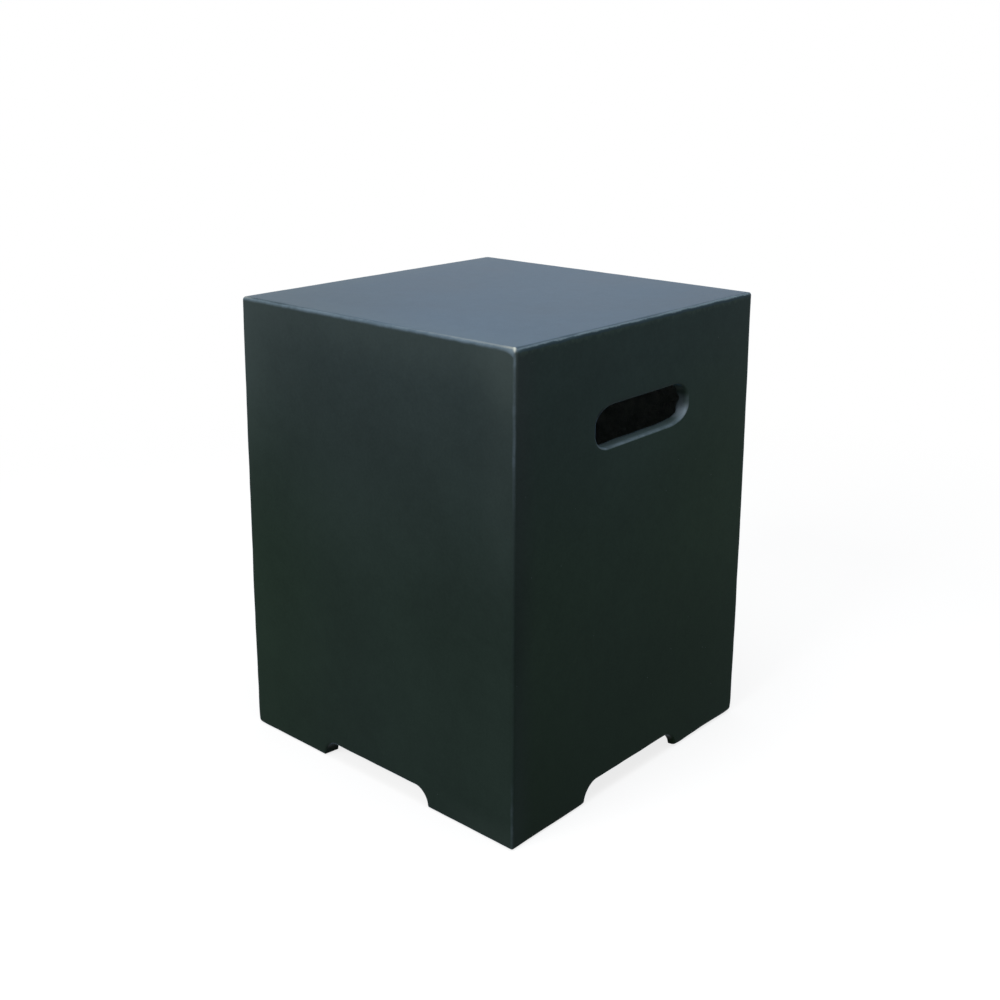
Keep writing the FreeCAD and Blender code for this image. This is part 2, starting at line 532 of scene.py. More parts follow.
def thin_out(piece):
    """Takes points out where the surface is flat."""
    triangles = 2 * len(piece.data.polygons)
    if triangles <= MOST_TRIANGLES:
        return
    modifier = piece.modifiers.new("thin_out", "DECIMATE")
    modifier.ratio = MOST_TRIANGLES / triangles
    apply_modifier(piece, modifier)


def shade_smooth(piece):
    """Smooth shading over the whole piece."""
    piece.data.polygons.foreach_set("use_smooth", [True] * len(piece.data.polygons))
    piece.data.update()


def paint(piece, material):
    """Gives a piece one material."""
    piece.data.materials.clear()
    piece.data.materials.append(material)


def cast_mesh(name, field, axes):
    """Mesh object of one solid of the casting."""
    points, quads = surface(filled_saddles(field), axes)
    return new_mesh(name, out_of_square(points), quads)


def make_casting():
    """The coat and the shell behind it, each a closed mesh."""
    across = grid_lines(-GRID_SIDE, GRID_SIDE, mirrored(FINE_ACROSS))
    up = grid_lines(GRID_BOTTOM, GRID_TOP, FINE_UP)
    axes = (across, across, up)
    solid, behind = field_on_grid(axes)
    coat = cast_mesh("coat", np.maximum(solid, -behind), axes)
    shell = cast_mesh("shell", np.maximum(solid, behind), axes)
    for piece in (coat, shell):
        thin_out(piece)
        shade_smooth(piece)
        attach(piece, "root")
    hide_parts("face_coat")
    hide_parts("backing_shell")
    return coat, shell


def pad_mesh(name, centre_x, centre_y):
    """Round rubber pad with soft edges and a hollowed sole."""
    rings = PAD_PROFILE[1:-1]
    vertices, faces = [], []
    for radius, height in rings:
        for step in range(PAD_STEPS):
            angle = 2 * math.pi * step / PAD_STEPS
            x = centre_x + radius * math.cos(angle)
            y = centre_y + radius * math.sin(angle)
            vertices.append((x, y, height))
    for ring in range(len(rings) - 1):
        low, high = ring * PAD_STEPS, (ring + 1) * PAD_STEPS
        for step in range(PAD_STEPS):
            after = (step + 1) % PAD_STEPS
            faces.append((low + step, low + after, high + after, high + step))
    last = (len(rings) - 1) * PAD_STEPS
    for start, (_radius, height), turned in ((0, PAD_PROFILE[0], True), (last, PAD_PROFILE[-1], False)):
        middle = len(vertices)
        vertices.append((centre_x, centre_y, height))
        for step in range(PAD_STEPS):
            pair = (start + step, start + (step + 1) % PAD_STEPS)
            faces.append((middle, *(pair[::-1] if turned else pair)))
    return new_mesh(name, vertices, faces)


def make_pads(material):
    """The four rubber pads under the feet."""
    for x_sign, side in ((1, "right"), (-1, "left")):
        for y_sign, end in ((-1, "front"), (1, "back")):
            name = f"foot_pad_{end}_{side}"
            pad = pad_mesh(f"rubber_pad_{end}_{side}", x_sign * PAD_CENTRE, y_sign * PAD_CENTRE)
            shade_smooth(pad)
            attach(pad, "root")
            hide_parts(name)
            paint(pad, material)


class Tree:
    """A material with short names for making its nodes."""

    def __init__(self, name):
        self.material = bpy.data.materials.new(name)
        self.material.use_nodes = True
        self.nodes = self.material.node_tree.nodes
        self.links = self.material.node_tree.links
        self.surface = self.nodes["Principled BSDF"]
        self.place = self.nodes.new("ShaderNodeTexCoord").outputs["Object"]

    def put(self, value, socket):
        """Gives a socket a link or a plain value."""
        if isinstance(value, bpy.types.NodeSocket):
            self.links.new(value, socket)
        elif isinstance(value, tuple) and len(value) == 3 and len(socket.default_value) == 4:
            socket.default_value = (*value, 1.0)
        else:
            socket.default_value = value

    def math(self, operation, *values):
        """Result of a math node."""
        node = self.nodes.new("ShaderNodeMath")
        node.operation = operation
        for value, socket in zip(values, node.inputs):
            self.put(value, socket)
        return node.outputs[0]

    def times(self, *values):
        """Product of several values."""
        result = values[0]
        for value in values[1:]:
            result = self.math("MULTIPLY", result, value)
        return result

    def span(self, value, low, high, start=0.0, end=1.0):
        """Value taken smoothly from one range to another."""
        node = self.nodes.new("ShaderNodeMapRange")
        node.interpolation_type = "SMOOTHSTEP"
        names = ("Value", "From Min", "From Max", "To Min", "To Max")
        for name, item in zip(names, (value, low, high, start, end)):
            self.put(item, node.inputs[name])
        return node.outputs["Result"]

    def mix(self, share, first, second):
        """Colour between two colours."""
        node = self.nodes.new("ShaderNodeMix")
        node.data_type = "RGBA"
        self.put(share, node.inputs["Factor"])
        self.put(first, node.inputs[6])
        self.put(second, node.inputs[7])
        return node.outputs[2]

    def scaled(self, colour, factor):
        """Colour made lighter or darker by a factor."""
        node = self.nodes.new("ShaderNodeVectorMath")
        node.operation = "SCALE"
        self.put(colour, node.inputs[0])
        self.put(factor, node.inputs["Scale"])
        return node.outputs[0]

    def axes(self):
        """The three coordinates in millimetres."""
        split = self.nodes.new("ShaderNodeSeparateXYZ")
        self.put(self.place, split.inputs[0])
        return [self.math("MULTIPLY", output, 1 / MM) for output in split.outputs]

    def noise(self, size, detail=3.0, roughness=0.5):
        """Noise of about 0 to 1 whose blobs are about a size in millimetres."""
        node = self.nodes.new("ShaderNodeTexNoise")
        self.put(self.place, node.inputs["Vector"])
        self.put(1 / (size * MM), node.inputs["Scale"])
        self.put(detail, node.inputs["Detail"])
        self.put(roughness, node.inputs["Roughness"])
        return node.outputs["Fac"]

    def cells(self, size, feature="F1"):
        """Outputs of a pattern of cells of about a size in millimetres."""
        node = self.nodes.new("ShaderNodeTexVoronoi")
        node.feature = feature
        self.put(self.place, node.inputs["Vector"])
        self.put(1 / (size * MM), node.inputs["Scale"])
        return node.outputs

    def bump(self, height, depth, below=None):
        """Normal from a height of 0 to 1 that stands for a depth in millimetres."""
        node = self.nodes.new("ShaderNodeBump")
        self.put(depth * MM, node.inputs["Distance"])
        self.put(1.0, node.inputs["Strength"])
        self.put(height, node.inputs["Height"])
        if below is not None:
            self.put(below, node.inputs["Normal"])
        return node.outputs["Normal"]

    def finish(self, **inputs):
        """Sets the surface shader's sockets."""
        for name, value in inputs.items():
            self.put(value, self.surface.inputs[name.replace("_", " ")])
        return self.material


# From here on a noise has a blob size, detail and roughness. A ramp has where its value starts
# and ends, in millimetres or as noise, and then the shares there, which are 0 and 1 if left out.
CLOUDS = (150.0, 4.0, 0.55)
MOTTLE = (14.0, 4.0, 0.6)
WANDER = (0.2, 0.8, -0.5, 0.5)
SLOT_STRETCHES = (-SLOT_SKEW_ALONG, SLOT_SKEW_ALONG, SLOT_STRETCH - SLOT_SKEW, SLOT_STRETCH + SLOT_SKEW)


class CastingTree(Tree):
    """The coat's material, with distances from the casting's faces and edges in millimetres."""

    def __init__(self, name):
        super().__init__(name)
        self.x, self.y, self.z = self.axes()
        self.across = self.math("ADD", self.x, self.y)
        self.rise = self.math("SUBTRACT", self.z, FOOT_LEVEL)
        half = self.math("SUBTRACT", BASE_HALF, self.math("MULTIPLY", self.rise, DRAFT / CASTING_HEIGHT))
        self.gap_x = self.math("SUBTRACT", half, self.math("ABSOLUTE", self.x))
        self.gap_y = self.math("SUBTRACT", half, self.math("ABSOLUTE", self.y))
        self.gap_z = self.math("SUBTRACT", self.table_level(), self.z)
        self.side_depth = self.math("MINIMUM", self.gap_x, self.gap_y)
        self.corner_depth = self.math("MAXIMUM", self.gap_x, self.gap_y)
        self.clouds = self.noise(*CLOUDS)
        self.mottle = self.noise(*MOTTLE)
        self.wander = self.span(self.mottle, *WANDER)

    def table_level(self):
        """Height of the slightly tilted tabletop."""
        tilt = self.math("MULTIPLY", self.x, TILT_X)
        tilt = self.math("ADD", tilt, self.math("MULTIPLY", self.y, TILT_Y))
        return self.math("ADD", tilt, TABLE_LEVEL - TILT_DROP)

    def slot_outline(self):
        """Distance from the handle slots' outline, exact for its lower half."""
        across = self.math("ABSOLUTE", self.math("SUBTRACT", self.y, SLOT_MIDDLE))
        across = self.math("SUBTRACT", across, SLOT_HALF_WIDTH)
        stretch = self.span(self.y, *SLOT_STRETCHES)
        across = self.math("ADD", self.math("DIVIDE", across, stretch), SLOT_CORNER)
        across = self.math("MAXIMUM", across, 0.0)
        level = self.math("ADD", self.math("MULTIPLY", self.y, SLOT_TILT), SLOT_LEVEL)
        up = self.math("ABSOLUTE", self.math("SUBTRACT", self.z, level))
        up = self.math("ADD", up, self.math("MULTIPLY", self.y, SLOT_TAPER))
        up = self.math("MAXIMUM", self.math("SUBTRACT", up, SLOT_HALF_HEIGHT - SLOT_CORNER), 0.0)
        squares = self.math("ADD", self.times(across, across), self.times(up, up))
        return self.math("SUBTRACT", self.math("SQRT", squares), SLOT_CORNER)


FRONT_LOW_SHARE = (180.0, 540.0, 1.0, 0.0)
FAR_LEFT_GREEN_REFLECTION = (-420.0, -200.0, 0.35, 0.0)


def front_colour(tree):
    """The front and left walls: darker and greener downwards as painted shade and painted green reflection,
    greener still at the far left.
    """
    low = tree.span(tree.rise, *FRONT_LOW_SHARE)
    colour = tree.mix(low, FRONT_HIGH, FRONT_LOW)
    return tree.mix(tree.times(tree.span(tree.across, *FAR_LEFT_GREEN_REFLECTION), low), colour, GREEN_REFLECTION)


BACK_HIGH_SHARE = (230.0, 500.0)
BACK_LOW_SHARE = (0.0, 280.0, 1.0, 0.0)
FAR_RIGHT_SHARE = (150.0, 380.0, 0.0, 0.6)
FAR_RIGHT_BELOW = (330.0, 540.0, 1.0, 0.0)
FAR_RIGHT_GREEN_REFLECTION = (100.0, 420.0, 0.0, 0.8)


def back_colour(tree):
    """The right and back walls: darker downwards as painted shade, greener and then greener still at the far
    right as painted green reflection.
    """
    colour = tree.mix(tree.span(tree.rise, *BACK_HIGH_SHARE), BACK_MIDDLE, BACK_HIGH)
    far = tree.times(tree.span(tree.across, *FAR_RIGHT_SHARE), tree.span(tree.rise, *FAR_RIGHT_BELOW))
    colour = tree.mix(far, colour, BACK_FAR)
    low = tree.span(tree.rise, *BACK_LOW_SHARE)
    colour = tree.mix(low, colour, BACK_LOW)
    return tree.mix(tree.times(tree.span(tree.across, *FAR_RIGHT_GREEN_REFLECTION), low), colour, GREEN_REFLECTION)


# Where the tabletop's painted sky reflection is less blue, darker or lighter
TOP_LEFT_SHARE = (-400.0, -100.0, 0.9, 0.0)
TOP_NEAR_TONE = (-380.0, -50.0, 1.08, 1.0)
TOP_LEFT_TONE = (-200.0, 130.0, 0.84, 1.0)
TOP_FAR_TONE = (100.0, 350.0, 1.0, 0.9)


def tabletop_with_painted_sky(tree):
    """The tabletop with a painted bluish sky reflection: less blue and darker at the left, lightest near the
    front corner.
    """
    colour = tree.mix(tree.span(tree.across, *TOP_LEFT_SHARE), TOP_WITH_PAINTED_SKY, TOP_LEFT_WITH_PAINTED_SKY)
    tone = tree.span(tree.math("SUBTRACT", tree.y, tree.x), *TOP_NEAR_TONE)
    tone = tree.times(tone, tree.span(tree.x, *TOP_LEFT_TONE))
    tone = tree.times(tone, tree.span(tree.across, *TOP_FAR_TONE))
    return tree.scaled(colour, tone)


CORNER_NARROWING = 4.0
CORNER_REACH = 26.0
CORNER_OFFSET = 1.0
CORNER_CUT = 1.9
FRONT_CORNER = (280.0, 360.0)
TOP_EDGE_FADE = (0.4, 4.6, 1.0, 0.0)


def top_share(tree):
    """1 on the tabletop, 0 below its rounded edge, reaching further down at the front corner."""
    from_corner = tree.math("MAXIMUM", tree.gap_x, tree.math("MULTIPLY", tree.gap_y, CORNER_NARROWING))
    from_corner = tree.math("ADD", tree.math("MAXIMUM", from_corner, 0.0), CORNER_OFFSET)
    reach = tree.math("DIVIDE", CORNER_REACH, from_corner)
    reach = tree.math("MAXIMUM", tree.math("SUBTRACT", reach, CORNER_CUT), 0.0)
    reach = tree.times(reach, tree.span(tree.math("SUBTRACT", tree.x, tree.y), *FRONT_CORNER))
    level = tree.math("SUBTRACT", tree.gap_z, reach)
    return tree.span(tree.math("ADD", level, tree.wander), *TOP_EDGE_FADE)


GRAIN = (3.0, 3.0, 0.6)
GRAIN_TONE = (0.25, 0.75, -0.05, 0.05)
CLOUD_TONE = (0.3, 0.7, 0.92, 1.08)
MOTTLE_TONE = (0.25, 0.75, -0.04, 0.04)
FRONT_TO_BACK = (0.0, 40.0)


def body_colour(tree):
    """Dark dyed concrete, a little cloudy and grainy all over, with walls that hold painted shade and green
    reflection and a top that holds a painted bluish sky reflection.
    """
    front, back = front_colour(tree), back_colour(tree)
    body = tree.mix(tree.span(tree.across, *FRONT_TO_BACK), front, back)
    fine = tree.span(tree.noise(*GRAIN), *GRAIN_TONE)
    tone = tree.math("ADD", tree.span(tree.clouds, *CLOUD_TONE), fine)
    tone = tree.math("ADD", tone, tree.span(tree.mottle, *MOTTLE_TONE))
    return tree.scaled(tree.mix(top_share(tree), body, tabletop_with_painted_sky(tree)), tone)


PATCHES = (22.0, 4.0, 0.65)
TOP_PATCHES = (0.36, 0.64, 0.35, 1.0)
TOP_PATCH_WEAR_AND_HIGHLIGHT = (0.35, 1.0, 0.5, 1.0)
TOP_RIM = (1.8, 3.4, 1.0, 0.0)
UPRIGHT_EDGE = (0.9, 3.2, 1.0, 0.0)
UPRIGHT_UNDER_TOP = (11.0, 27.0, 0.95, 0.46)
UPRIGHT_FADE = (95.0, 170.0, 1.0, 0.08)
UPRIGHT_FOOT = (25.0, 90.0, 0.24, 0.0)
UPRIGHT_NOISE = (16.0, 4.0, 0.7)
UPRIGHT_PATCHES = (0.38, 0.62, 0.55, 1.0)


def edge_wear_and_highlights(tree, colour):
    """Lighter rubbed edges round the tabletop and down the upright corners, lightened also as a painted
    highlight, and the top edge's share.
    """
    patches = tree.span(tree.noise(*PATCHES), *TOP_PATCHES)
    top_edge = tree.times(top_share(tree), tree.span(tree.side_depth, *TOP_RIM))
    colour = tree.mix(tree.times(top_edge, tree.span(patches, *TOP_PATCH_WEAR_AND_HIGHLIGHT)), colour, WORN_EDGE_AND_HIGHLIGHT)
    upright = tree.span(tree.math("ADD", tree.corner_depth, tree.wander), *UPRIGHT_EDGE)
    high = tree.times(tree.span(tree.gap_z, *UPRIGHT_UNDER_TOP), tree.span(tree.gap_z, *UPRIGHT_FADE))
    upright = tree.times(upright, tree.math("ADD", high, tree.span(tree.rise, *UPRIGHT_FOOT)))
    upright_patches = tree.span(tree.noise(*UPRIGHT_NOISE), *UPRIGHT_PATCHES)
    return tree.mix(tree.times(upright, upright_patches), colour, WORN_EDGE_AND_HIGHLIGHT), top_edge


ALONG_EDGE = (3.0, 9.0)
DARK_LINE_STARTS = (1.5, 2.4)
DARK_LINE_ENDS = (2.9, 4.3, 1.0, 0.0)
DARK_LINE_DEPTH = (0.3, 1.5, 0.55, 0.0)
LINE_NOISE = (20.0, 4.0, 0.7)
LINE_WANDER = (0.25, 0.75, -0.7, 1.1)
ON_WALL = (0.6, 1.4, 1.0, 0.0)
UNDER_NOISE = (9.0, 4.0, 0.7)
UNDER_WANDER = (0.25, 0.75, -3.0, 3.0)
UNDER_FADE = (3.0, 9.0, 0.42, 0.0)
BELOW_LINE_STARTS = (1.6, 2.4)
BELOW_LINE_ENDS = (3.6, 5.6, 0.85, 0.0)
FLECKS = (3.0, 2.0, 0.6)
FLECK_SHARE = (0.35, 0.65, 0.6, 1.0)
LIGHT_LINE_ENDS = (0.9, 1.9, 0.85, 0.0)
LIGHT_LINE_DEPTH = (1.3, 2.4, 1.0, 0.0)


def slotted_top_edge_highlights(tree, colour):
    """Painted highlight along the rounded top edges above the slots: thin dark and light lines, bluish below
    them.
    """
    along = tree.span(tree.gap_y, *ALONG_EDGE)
    dark = tree.times(tree.span(tree.gap_x, *DARK_LINE_STARTS), tree.span(tree.gap_x, *DARK_LINE_ENDS), along)
    dark = tree.times(dark, tree.span(tree.gap_z, *DARK_LINE_DEPTH))
    colour = tree.mix(dark, colour, PAINTED_DARK_LINE)
    depth = tree.math("ADD", tree.gap_z, tree.span(tree.noise(*LINE_NOISE), *LINE_WANDER))
    on_wall = tree.span(tree.gap_x, *ON_WALL)
    under = tree.math("ADD", tree.gap_z, tree.span(tree.noise(*UNDER_NOISE), *UNDER_WANDER))
    under = tree.times(on_wall, tree.span(under, *UNDER_FADE), along)
    colour = tree.mix(under, colour, PAINTED_UNDER_EDGE_LIGHT)
    starts, ends = tree.span(depth, *BELOW_LINE_STARTS), tree.span(depth, *BELOW_LINE_ENDS)
    colour = tree.mix(tree.times(on_wall, starts, ends, along), colour, PAINTED_BLUISH_BAND)
    flecks = tree.span(tree.noise(*FLECKS), *FLECK_SHARE)
    ends, above = tree.span(tree.gap_x, *LIGHT_LINE_ENDS), tree.span(depth, *LIGHT_LINE_DEPTH)
    return tree.mix(tree.times(ends, above, along, flecks), colour, PAINTED_HIGHLIGHT_LINE)


CHALK_NOISE = (5.0, 4.0, 0.65)
CHALK_WANDER = (0.25, 0.75, -0.9, 0.9)
CHALK_STARTS = (0.4, 2.0)
CHALK_ENDS = (2.4, 7.0, 1.0, 0.0)
CHALK_DEPTH = (0.3, 1.6, 1.0, 0.0)
CHALK_IN_FRONT = (-150.0, -100.0, 1.0, 0.0)
CHALK_SHIFT = (0.3, 0.7, -20.0, 20.0)
CHALK_RIGHTWARDS = (40.0, 190.0, 0.0, 0.3)
CHALK_NEAR_CORNER = (3.0, 22.0, 0.6, 0.0)


def chalk_line(tree, colour):
    """Pale rubbed line along the front edge of the top, stronger to the right."""
    depth = tree.math("ADD", tree.gap_y, tree.span(tree.noise(*CHALK_NOISE), *CHALK_WANDER))
    line = tree.times(tree.span(depth, *CHALK_STARTS), tree.span(depth, *CHALK_ENDS))
    line = tree.times(line, tree.span(tree.gap_z, *CHALK_DEPTH), tree.span(tree.y, *CHALK_IN_FRONT))
    place = tree.math("ADD", tree.x, tree.span(tree.clouds, *CHALK_SHIFT))
    near_corner = tree.span(tree.gap_x, *CHALK_NEAR_CORNER)
    strength = tree.math("ADD", tree.span(place, *CHALK_RIGHTWARDS), near_corner)
    return tree.mix(tree.times(line, strength), colour, COAT_CHALKY)


RUBBED_CORNER = (3.0, 7.6, 1.0, 0.0)
RUBBED_CORNERS = (150.0, 320.0, 0.1, 1.0)
BARE_CORNER = (4.6, 6.4, 0.9, 0.0)
BARE_CORNERS = (150.0, 320.0)


def pale_corners(tree, colour):
    """Corners of the top rubbed pale, the front right and back left ones down to bare concrete."""
    from_corner = tree.math("ADD", tree.corner_depth, tree.gap_z)
    place = tree.math("ABSOLUTE", tree.math("SUBTRACT", tree.x, tree.y))
    rubbed = tree.span(place, *RUBBED_CORNERS)
    colour = tree.mix(tree.times(tree.span(from_corner, *RUBBED_CORNER), rubbed), colour, COAT_CHALKY)
    bare = tree.times(tree.span(from_corner, *BARE_CORNER), tree.span(place, *BARE_CORNERS))
    return tree.mix(bare, colour, COAT_BARE)


HALO_EDGE = (2.0, 60.0, 1.0, 0.0)
HALO_DOWN = (20.0, 300.0, 1.0, 0.15)
HALO_FRONT = (0.0, 40.0, 1.0, 0.25)
HALO_CLOUDS = (0.35, 0.65, 0.055, 0.09)


def painted_edge_light(tree, colour):
    """Painted light: a faint lighter haze near the walls' edges, most of it high up and on the front and
    left.
    """
    depth = tree.math("MAXIMUM", tree.side_depth, tree.math("MINIMUM", tree.corner_depth, tree.gap_z))
    halo = tree.times(tree.span(depth, *HALO_EDGE), tree.span(tree.gap_z, *HALO_DOWN))
    front, clouds = tree.span(tree.across, *HALO_FRONT), tree.span(tree.clouds, *HALO_CLOUDS)
    return tree.mix(tree.times(halo, front, clouds), colour, PAINTED_LIGHT_HAZE)


NEAR_CORNER_BESIDE = (2.0, 70.0, 0.15, 0.0)
NEAR_CORNER_DOWN = (2.0, 90.0, 1.0, 0.0)
FAR_CORNER_BESIDE = (20.0, 170.0, 0.085, 0.0)
FAR_CORNER_DOWN = (0.0, 190.0, 1.0, 0.0)
RIGHT_HALF = (-20.0, 20.0)
LEFT_HALF = (-20.0, 20.0, 1.0, 0.0)
ON_ONE_WALL = (3.0, 6.0, 1.0, 0.0)
FAR_SIDE_ALONG = (40.0, 200.0, 0.0, 0.05)
FAR_SIDE_DOWN = (60.0, 330.0, 1.0, 0.0)
FOOT_HAZE = (6.0, 34.0, 0.045, 0.0)
FOOT_HAZE_RIGHT = (90.0, 150.0)


def painted_wall_light(tree, colour):
    """Painted light: lighter haze at the plain walls' top corners and right feet, and at the slotted walls'
    back.
    """
    on_plain_wall = tree.span(tree.gap_y, *ON_ONE_WALL)
    near_corner = tree.span(tree.gap_x, *NEAR_CORNER_BESIDE)
    near_corner = tree.times(near_corner, tree.span(tree.gap_z, *NEAR_CORNER_DOWN))
    far_corner = tree.span(tree.gap_x, *FAR_CORNER_BESIDE)
    far_corner = tree.times(far_corner, tree.span(tree.gap_z, *FAR_CORNER_DOWN))
    haze = tree.math("MULTIPLY", tree.span(tree.x, *RIGHT_HALF), near_corner)
    haze = tree.math("ADD", haze, tree.math("MULTIPLY", tree.span(tree.x, *LEFT_HALF), far_corner))
    colour = tree.mix(tree.times(haze, on_plain_wall), colour, PAINTED_LIGHT_HAZE)
    far_side = tree.times(tree.span(tree.y, *FAR_SIDE_ALONG), tree.span(tree.gap_z, *FAR_SIDE_DOWN))
    far_side = tree.times(far_side, tree.span(tree.gap_x, *ON_ONE_WALL))
    colour = tree.mix(far_side, colour, PAINTED_LIGHT_HAZE)
    foot = tree.times(tree.span(tree.rise, *FOOT_HAZE), tree.span(tree.x, *FOOT_HAZE_RIGHT))
    return tree.mix(tree.times(foot, on_plain_wall), colour, PAINTED_LIGHT_HAZE)


SLOT_NEAR_INSIDE = (-2.5, -1.0)
SLOT_NEAR_OUTSIDE = (1.6, 3.0, 1.0, 0.0)
SLOT_LOWER = (SLOT_LEVEL - 19.0, SLOT_LEVEL - 13.0, 1.0, 0.0)
SLOT_FLOOR_DEPTH = (2.0, 4.0, 0.0, 0.75)
RIM_PATCHES = (0.36, 0.64, 0.6, 1.0)
RIM_DEPTH = (1.4, 6.5, 0.8, 0.0)
RIM_OUTSIDE = (1.2, 2.4, 1.0, 0.0)


def slot_floor_light_and_rim_highlight(tree, colour, outline, near):
    """Painted light on the slots' floor and a painted highlight on their lower rim."""
    lower = tree.span(tree.z, *SLOT_LOWER)
    floor = tree.times(near, lower, tree.span(tree.gap_x, *SLOT_FLOOR_DEPTH))
    colour = tree.mix(floor, colour, SLOT_FLOOR_PAINTED_LIGHT)
    patches = tree.span(tree.noise(*PATCHES), *RIM_PATCHES)
    rim = tree.times(near, lower, tree.span(tree.gap_x, *RIM_DEPTH), patches)
    rim = tree.times(rim, tree.span(outline, *RIM_OUTSIDE))
    return tree.mix(rim, colour, PAINTED_HIGHLIGHT_LINE)


BACK_END = (SLOT_HALF_WIDTH - 16.0, SLOT_HALF_WIDTH - 2.0)
BACK_END_HIGH = (SLOT_LEVEL + 1.0, SLOT_LEVEL + 10.0, 1.0, 0.0)
BACK_END_HIGH_DEPTH = (1.5, 11.0, 0.18, 0.45)
BACK_END_LOW = (SLOT_LEVEL - 12.0, SLOT_LEVEL + 1.0, 0.85, 0.0)
BACK_END_LOW_DEPTH = (8.0, 15.0, 1.0, 0.6)
FRONT_END = (4.0 - SLOT_HALF_WIDTH, 16.0 - SLOT_HALF_WIDTH, 1.0, 0.0)
FRONT_END_RISES = (SLOT_LEVEL - 17.0, SLOT_LEVEL - 9.0)
FRONT_END_OUTSIDE = (0.6, 1.6, 1.0, 0.0)
FRONT_END_SHADE = 0.9


def slot_end_light_and_shade(tree, colour, outline, near):
    """Painted light on the slots' back ends, strongest low down, and painted shade at their front ends."""
    ends = tree.times(near, tree.span(tree.y, *BACK_END))
    high = tree.times(tree.span(tree.z, *BACK_END_HIGH), tree.span(tree.gap_x, *BACK_END_HIGH_DEPTH))
    colour = tree.mix(tree.times(ends, high), colour, SLOT_END_PAINTED_LIGHT)
    low = tree.times(tree.span(tree.z, *BACK_END_LOW), tree.span(tree.gap_x, *BACK_END_LOW_DEPTH))
    colour = tree.mix(tree.times(ends, low), colour, SLOT_END_PAINTED_LIGHT)
    front_end, high = tree.span(tree.y, *FRONT_END), tree.span(tree.z, *FRONT_END_RISES)
    inside = tree.times(tree.span(outline, *SLOT_NEAR_INSIDE), tree.span(outline, *FRONT_END_OUTSIDE))
    return tree.mix(tree.times(front_end, high, inside, FRONT_END_SHADE), colour, SLOT_END_SHADE)


def slot_painted_light_and_shade(tree, colour):
    """Painted light and shade in and round the handle slots."""
    outline = tree.slot_outline()
    near = tree.times(tree.span(outline, *SLOT_NEAR_INSIDE), tree.span(outline, *SLOT_NEAR_OUTSIDE))
    colour = slot_floor_light_and_rim_highlight(tree, colour, outline, near)
    return slot_end_light_and_shade(tree, colour, outline, near)


DOT_CORE = 0.6


def scattered(tree, size, radius, share):
    """Small dots in a random share of cells of a size in millimetres."""
    cells = tree.cells(size)
    dots = tree.span(cells["Distance"], DOT_CORE * radius / size, radius / size, 1.0, 0.0)
    picked = tree.math("LESS_THAN", cells["Color"], share)
    return tree.times(dots, picked)


SPECKS = (11.0, 0.45, 0.3)
PINHOLES = (17.0, 0.6, 0.3)
PINHOLE_SHADE = 0.7
PINHOLE_DEPTH = 0.15
SWELL = (60.0, 2.0, 0.4)
SWELL_DEPTH = 0.1
SKIN = (1.6, 3.0, 0.6)
SKIN_DEPTH = 0.03
SEAL_ROUGHNESS = (0.3, 0.7, 0.23, 0.27)
WORN_ROUGHNESS = 0.15


def coat_material():
    """Smooth dyed concrete with a satin seal, cloudy, pinholed and rubbed at its edges, with painted light,
    shade, highlights and reflections on it.
    """
    tree = CastingTree("satin_concrete")
    colour, top_edge = edge_wear_and_highlights(tree, body_colour(tree))
    colour = slotted_top_edge_highlights(tree, colour)
    colour = pale_corners(tree, chalk_line(tree, colour))
    colour = painted_wall_light(tree, painted_edge_light(tree, colour))
    colour = slot_painted_light_and_shade(tree, colour)
    colour = tree.mix(scattered(tree, *SPECKS), colour, COAT_SPECK)
    holes = scattered(tree, *PINHOLES)
    # Pinholes darkened as painted shade inside them
    colour = tree.mix(tree.times(holes, PINHOLE_SHADE), colour, PINHOLE_PAINTED_SHADE)
    swell = tree.bump(tree.noise(*SWELL), SWELL_DEPTH)
    skin = tree.bump(tree.noise(*SKIN), SKIN_DEPTH, swell)
    pits = tree.bump(tree.times(holes, -1.0), PINHOLE_DEPTH, skin)
    worn = tree.times(top_edge, WORN_ROUGHNESS)
    return tree.finish(
        Base_Color=colour,
        Roughness=tree.math("ADD", tree.span(tree.clouds, *SEAL_ROUGHNESS), worn),
        Normal=pits,
        Specular_IOR_Level=SEAL_SPECULAR,
        Sheen_Weight=SHEEN_WEIGHT,
        Sheen_Roughness=SHEEN_ROUGHNESS,
        Sheen_Tint=SHEEN_TINT,
    )


LUMPS = (18.0, 5.0, 0.6)
LUMP_DUST = (0.3, 0.7)
LUMP_DEPTH = 1.2
SAND = (1.4, 3.0, 0.7)
SAND_SHARE = (0.55, 0.75, 0.0, 0.5)
SAND_ROUGHNESS = (0.3, 0.7, 0.85, 0.97)
SAND_DEPTH = 0.25
STRAND_CELLS = 11.0
STRAND_WIDTH = (0.0, 0.03, 1.0, 0.0)
STRAND_PATCHES = (25.0, 2.0)
STRAND_SHARE = (0.5, 0.6)
STRAND_TINT = 0.6
STRAND_DEPTH = 0.2


